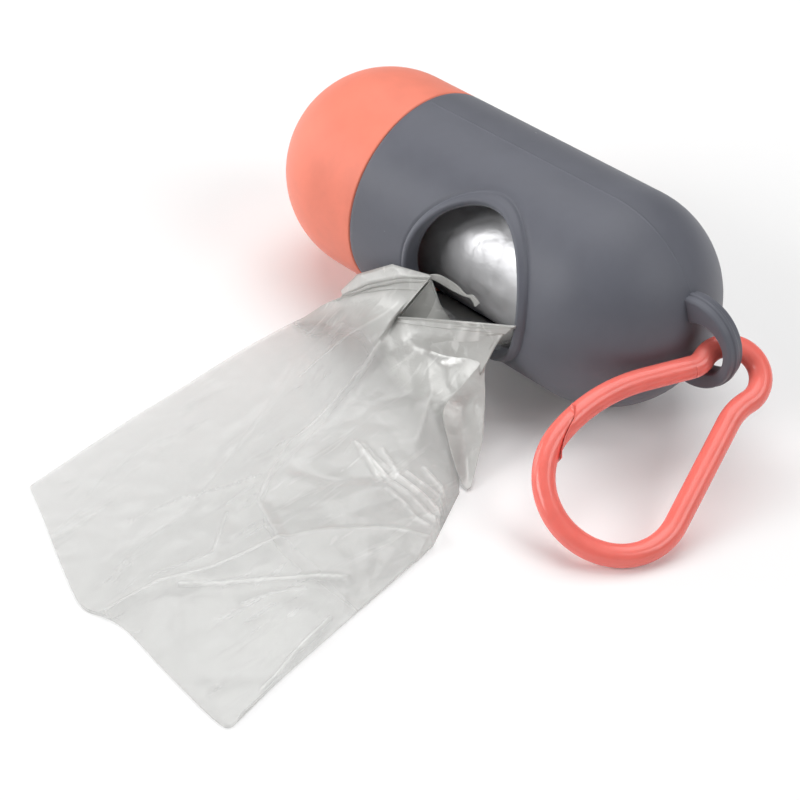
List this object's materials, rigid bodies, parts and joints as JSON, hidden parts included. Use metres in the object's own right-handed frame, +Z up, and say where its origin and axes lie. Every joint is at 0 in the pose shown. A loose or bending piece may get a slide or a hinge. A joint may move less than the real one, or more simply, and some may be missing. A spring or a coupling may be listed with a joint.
{
  "type": "waste bag dispenser",
  "caption": "Capsule dispenser for a roll of waste bags, with a plug-in end cap, a round rimmed window, a bag pulled out, and a lug with a snap clip.",
  "frame": {"origin": "centre of the whole object's bounding box on the floor it lies on", "axes": "+X along the capsule towards the lug, +Y away from the dispensing window, +Z up"},
  "size_m": [0.1206, 0.129, 0.042],
  "materials": {
    "silicone_grey": "matte silicone",
    "silicone_coral": "matte silicone",
    "paperboard": "uncoated board",
    "film": "thin translucent film",
    "clip_plastic": "glossy moulding"
  },
  "bodies": {
    "shell": {"body_shell": "silicone_grey"},
    "cap": {"end_cap": "silicone_coral"},
    "roll": {"roll_core": "paperboard", "roll_film": "film"},
    "bag": {"pulled_bag": "film"},
    "clip": {"clip_frame": "clip_plastic"},
    "gate": {"clip_gate": "clip_plastic"}
  },
  "joints": [
    {"name": "cap_pull", "type": "slide", "parent": "shell", "child": "cap", "axis": [-1, 0, 0], "range_m": [0, 0.03]},
    {"name": "roll_spin", "type": "hinge", "parent": "shell", "child": "roll", "pos_m": [0, 0.04354, 0.0192], "axis": [-1, 0, 0], "range_deg": [0, 120]},
    {"name": "bag_pull", "type": "slide", "parent": "shell", "child": "bag", "axis": [0, -1, 0], "range_m": [0, 0.03]},
    {"name": "clip_swing", "type": "hinge", "parent": "shell", "child": "clip", "pos_m": [0.04362, 0.04354, 0.02118], "axis": [0, -1, 0], "range_deg": [-60, 60]},
    {"name": "gate_flex", "type": "hinge", "parent": "clip", "child": "gate", "pos_m": [0.04329, 0.03875, 0.01981], "axis": [0.5064, -0.2693, 0.8192], "range_deg": [0, 16], "stiffness_Nm_per_rad": 0.05}
  ],
  "couplings": [
    {"joint": "bag_pull", "follows": "roll_spin", "m_per_rad": 0.0143}
  ]
}
